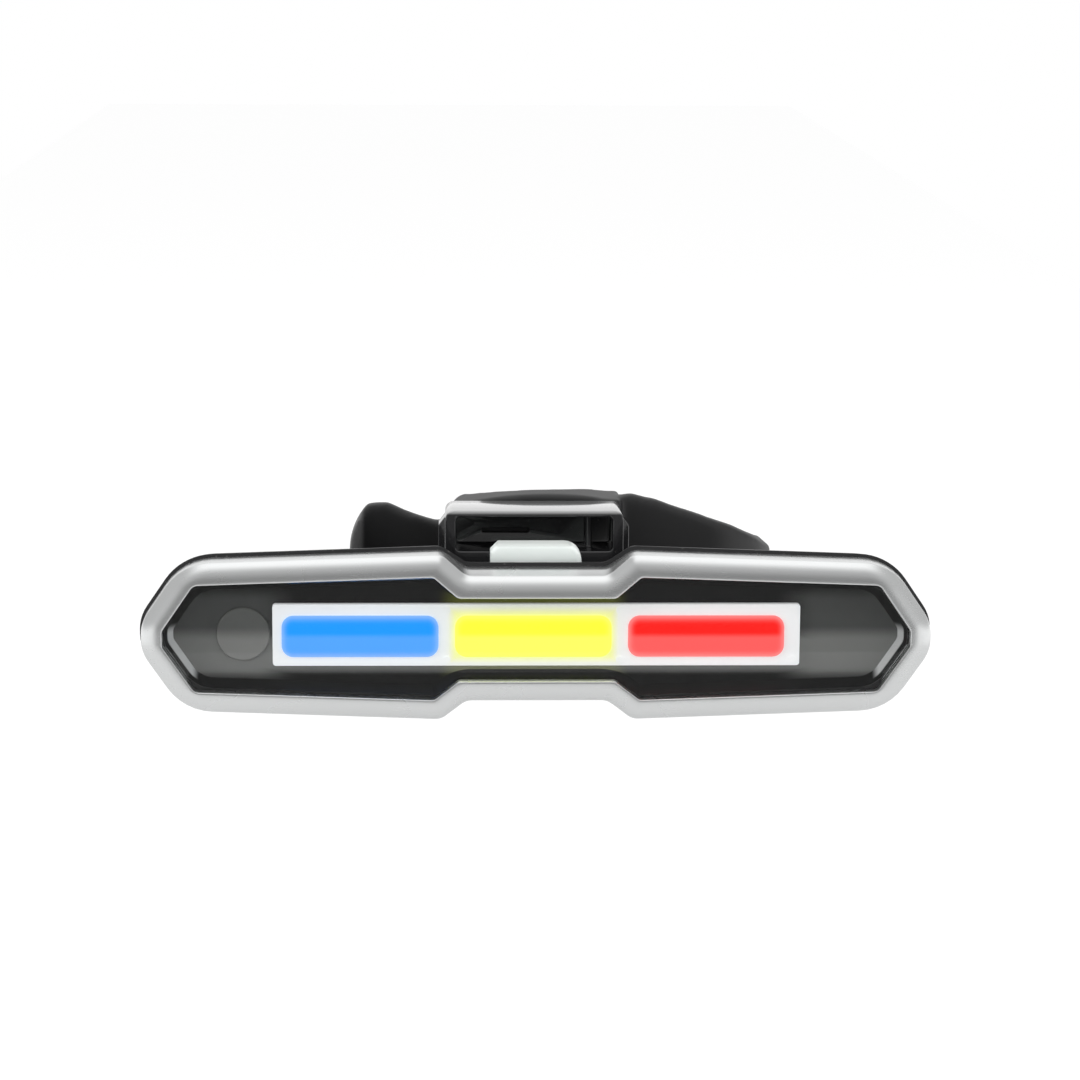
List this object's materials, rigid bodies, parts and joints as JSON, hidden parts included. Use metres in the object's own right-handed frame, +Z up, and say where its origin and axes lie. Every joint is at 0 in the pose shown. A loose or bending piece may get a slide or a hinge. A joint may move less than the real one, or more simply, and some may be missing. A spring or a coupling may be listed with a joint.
{
  "type": "bicycle tail light",
  "caption": "Bar-shaped rechargeable bicycle tail light with coloured light strips behind a clear lens, on a swivel bracket with a rubber seat-post strap.",
  "frame": {"origin": "on the axis of the seat post, level with the lamp's swivel axis", "axes": "+Z up along the seat post, +X along the bar to the right as seen from in front of the lamp's face, +Y from the lamp towards the post; the lamp shines towards -Y"},
  "size_m": [0.1012, 0.0635, 0.0273],
  "materials": {
    "plated_trim": "satin plated plastic",
    "clear_lens": "clear polycarbonate",
    "seal_rubber": "matt",
    "tray_black": "high gloss black",
    "board_white": "white solder mask",
    "solder": "dull solder",
    "gel_blue": "coloured silicone gel",
    "gel_yellow": "coloured silicone gel, lit",
    "gel_red": "coloured silicone gel",
    "smoked_plastic": "smoked, polished",
    "lamp_package": "small lamp package",
    "casing_black": "satin black, fine texture",
    "screw_steel": "plain steel",
    "insert_brass": "turned",
    "circuit_green": "green solder mask",
    "chip_black": "moulded",
    "coil_grey": "ferrite",
    "ceramic_tan": "ceramic",
    "battery_foil": "laminated foil",
    "foam_grey": "closed-cell foam",
    "wire_red": "wire insulation",
    "button_milky": "milky translucent silicone",
    "plunger_black": "moulded",
    "socket_steel": "plated sheet",
    "bracket_black": "high gloss black",
    "strap_silicone": "matt silicone"
  },
  "bodies": {
    "mount": {"bracket": "bracket_black", "strap": "strap_silicone", "strap_stud": "screw_steel"},
    "lamp": {"front_bezel": "plated_trim", "front_lens": "clear_lens", "lens_seal": "seal_rubber", "reflector_tray": "tray_black", "led_board": "board_white", "led_board_pads": "solder", "blue_led_strip": "gel_blue", "yellow_led_strip": "gel_yellow", "red_led_strip": "gel_red", "indicator_window": "smoked_plastic", "indicator_lamp": "lamp_package", "rear_casing": "casing_black", "casing_screws": "screw_steel", "circuit_screws": "screw_steel", "main_circuit_board": "circuit_green", "control_chip": "chip_black", "power_coil": "coil_grey", "small_board_parts": "ceramic_tan", "battery_cell": "battery_foil", "battery_foam": "foam_grey", "battery_leads": "wire_red", "led_leads": "wire_red", "switch_body": "chip_black", "charging_socket": "socket_steel", "socket_tongue": "chip_black", "cover_anchor": "seal_rubber", "pivot_insert": "insert_brass", "pivot_sleeve": "screw_steel", "pivot_screw": "screw_steel", "spring_washer": "screw_steel"},
    "button": {"power_button": "button_milky"},
    "plunger": {"switch_plunger": "plunger_black"},
    "cover": {"socket_cover": "seal_rubber"}
  },
  "joints": [
    {"name": "lamp_swivel", "type": "hinge", "parent": "mount", "child": "lamp", "pos_m": [0, -0.0263, 0], "axis": [0, 1, 0], "continuous": true},
    {"name": "button_press", "type": "slide", "parent": "lamp", "child": "button", "axis": [0, 0, -1], "range_m": [0, 0.0005], "stiffness_N_per_m": 400},
    {"name": "plunger_press", "type": "slide", "parent": "lamp", "child": "plunger", "axis": [0, 0, -1], "range_m": [0, 0.0005]},
    {"name": "cover_hinge", "type": "hinge", "parent": "lamp", "child": "cover", "pos_m": [-0.0297, -0.03225, -0.00995], "axis": [0, 1, 0], "range_deg": [0, 120]}
  ],
  "couplings": [
    {"joint": "plunger_press", "follows": "button_press", "ratio": 1}
  ]
}
